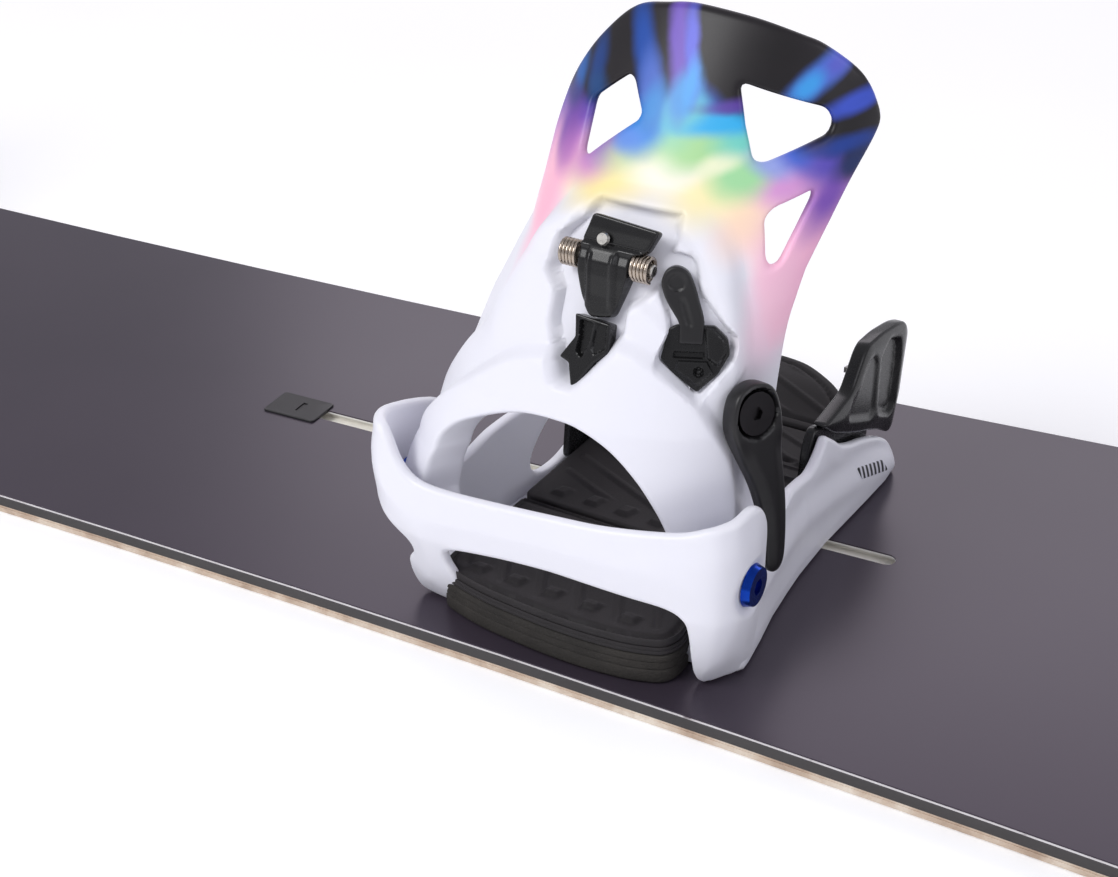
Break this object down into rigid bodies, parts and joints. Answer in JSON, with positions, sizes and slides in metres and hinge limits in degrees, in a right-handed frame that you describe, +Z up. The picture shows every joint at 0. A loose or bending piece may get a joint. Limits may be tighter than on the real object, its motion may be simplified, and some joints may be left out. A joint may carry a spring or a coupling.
{
  "type": "snowboard with bindings",
  "caption": "Twin snowboard with insert channels and step-in bindings, each with a folding highback, heel latch, release lever, lean adjuster and toe hooks.",
  "frame": {"origin": "centre of the board on its running base", "axes": "+X along the board towards the end with the right binding, +Y towards the toe edge, +Z up from the base"},
  "size_m": [1.54, 0.2981, 0.2445],
  "materials": {
    "base": "sintered polyethylene base",
    "edge_steel": "ground steel edge, worn",
    "laminate": "glass laminate, pale where its rim shows",
    "core_wood": "laminated poplar",
    "sidewall_abs": "satin ABS",
    "topsheet": "satin dark topsheet with a violet-grey sheen",
    "rail_metal": "satin",
    "white_shell": "satin cool white nylon",
    "highback_fade": "white fading through pastel to black at the top",
    "black_plastic": "fine moulded texture",
    "black_hardware": "black oxide",
    "pad_rubber": "matte, ribbed",
    "foam": "closed-cell foam",
    "steel": "zinc plated",
    "blue_anodised": "anodised blue"
  },
  "bodies": {
    "board": {"base_sheet": "base", "steel_edge": "edge_steel", "bottom_laminate": "laminate", "wood_core": "core_wood", "tip_spacers": "sidewall_abs", "sidewalls": "sidewall_abs", "top_laminate": "laminate", "topsheet": "topsheet", "channel_rails": "rail_metal", "channel_plugs": "black_plastic", "right_baseplate": "white_shell", "right_heel_hoop": "white_shell", "right_heel_foam": "foam", "right_heel_pad": "pad_rubber", "right_footbed": "pad_rubber", "right_toe_ramp": "pad_rubber", "right_mounting_disc": "black_plastic", "right_disc_bolts": "steel", "right_channel_nuts": "steel", "right_toe_hooks": "black_plastic", "right_toe_hook_inserts": "steel", "right_hinge_bolts": "blue_anodised", "right_hinge_nuts": "steel", "left_baseplate": "white_shell", "left_heel_hoop": "white_shell", "left_heel_foam": "foam", "left_heel_pad": "pad_rubber", "left_footbed": "pad_rubber", "left_toe_ramp": "pad_rubber", "left_mounting_disc": "black_plastic", "left_disc_bolts": "steel", "left_channel_nuts": "steel", "left_toe_hooks": "black_plastic", "left_toe_hook_inserts": "steel", "left_hinge_bolts": "blue_anodised", "left_hinge_nuts": "steel"},
    "right_highback_unit": {"right_highback": "highback_fade", "right_release_lever_bolt": "black_hardware", "right_release_cable": "black_plastic", "right_latch_axle": "steel", "right_latch_springs": "steel"},
    "right_release_lever_unit": {"right_release_lever": "black_plastic"},
    "right_latch_rocker_unit": {"right_latch_rocker": "black_plastic", "right_latch_rivet": "steel"},
    "right_latch_pawl_unit": {"right_latch_pawl": "black_plastic"},
    "right_lean_block_unit": {"right_lean_block": "black_plastic", "right_lean_pin": "steel"},
    "right_lean_lever_unit": {"right_lean_lever": "black_plastic"},
    "left_highback_unit": {"left_highback": "highback_fade", "left_release_lever_bolt": "black_hardware", "left_release_cable": "black_plastic", "left_latch_axle": "steel", "left_latch_springs": "steel"},
    "left_release_lever_unit": {"left_release_lever": "black_plastic"},
    "left_latch_rocker_unit": {"left_latch_rocker": "black_plastic", "left_latch_rivet": "steel"},
    "left_latch_pawl_unit": {"left_latch_pawl": "black_plastic"},
    "left_lean_block_unit": {"left_lean_block": "black_plastic", "left_lean_pin": "steel"},
    "left_lean_lever_unit": {"left_lean_lever": "black_plastic"}
  },
  "joints": [
    {"name": "right_highback_fold", "type": "hinge", "parent": "board", "child": "right_highback_unit", "pos_m": [0.30853, -0.10173, 0.0545], "axis": [-0.9973, 0.0732, 0], "range_deg": [0, 22]},
    {"name": "right_release_lever_lift", "type": "hinge", "parent": "right_highback_unit", "child": "right_release_lever_unit", "pos_m": [0.36989, -0.08538, 0.1141], "axis": [0.8682, -0.4648, 0.174], "range_deg": [0, 60]},
    {"name": "right_latch_rocker_tilt", "type": "hinge", "parent": "right_highback_unit", "child": "right_latch_rocker_unit", "pos_m": [0.31357, -0.0877, 0.16317], "axis": [-0.9973, 0.0732, 0], "range_deg": [0, 15]},
    {"name": "right_latch_pawl_slide", "type": "slide", "parent": "right_highback_unit", "child": "right_latch_pawl_unit", "axis": [-0.0291, -0.3961, -0.9178], "range_m": [0, 0.004]},
    {"name": "right_lean_block_slide", "type": "slide", "parent": "right_highback_unit", "child": "right_lean_block_unit", "axis": [-0.11, 0.2905, 0.9505], "range_m": [-0.006, 0.006]},
    {"name": "right_lean_lever_flip", "type": "hinge", "parent": "right_lean_block_unit", "child": "right_lean_lever_unit", "pos_m": [0.34877, -0.08926, 0.13997], "axis": [0.9352, 0.3542, 0], "range_deg": [0, 80]},
    {"name": "left_highback_fold", "type": "hinge", "parent": "board", "child": "left_highback_unit", "pos_m": [-0.30853, -0.10173, 0.0545], "axis": [-0.9973, -0.0732, 0], "range_deg": [0, 22]},
    {"name": "left_release_lever_lift", "type": "hinge", "parent": "left_highback_unit", "child": "left_release_lever_unit", "pos_m": [-0.36989, -0.08538, 0.1141], "axis": [0.8682, 0.4648, -0.174], "range_deg": [0, 60]},
    {"name": "left_latch_rocker_tilt", "type": "hinge", "parent": "left_highback_unit", "child": "left_latch_rocker_unit", "pos_m": [-0.31357, -0.0877, 0.16317], "axis": [-0.9973, -0.0732, 0], "range_deg": [0, 15]},
    {"name": "left_latch_pawl_slide", "type": "slide", "parent": "left_highback_unit", "child": "left_latch_pawl_unit", "axis": [0.0291, -0.3961, -0.9178], "range_m": [0, 0.004]},
    {"name": "left_lean_block_slide", "type": "slide", "parent": "left_highback_unit", "child": "left_lean_block_unit", "axis": [0.11, 0.2905, 0.9505], "range_m": [-0.006, 0.006]},
    {"name": "left_lean_lever_flip", "type": "hinge", "parent": "left_lean_block_unit", "child": "left_lean_lever_unit", "pos_m": [-0.34877, -0.08926, 0.13997], "axis": [0.9352, -0.3542, 0], "range_deg": [0, 80]}
  ],
  "couplings": [
    {"joint": "right_latch_rocker_tilt", "follows": "right_release_lever_lift", "ratio": 0.25},
    {"joint": "right_latch_pawl_slide", "follows": "right_release_lever_lift", "m_per_rad": 0.0035},
    {"joint": "left_latch_rocker_tilt", "follows": "left_release_lever_lift", "ratio": 0.25},
    {"joint": "left_latch_pawl_slide", "follows": "left_release_lever_lift", "m_per_rad": 0.0035}
  ]
}
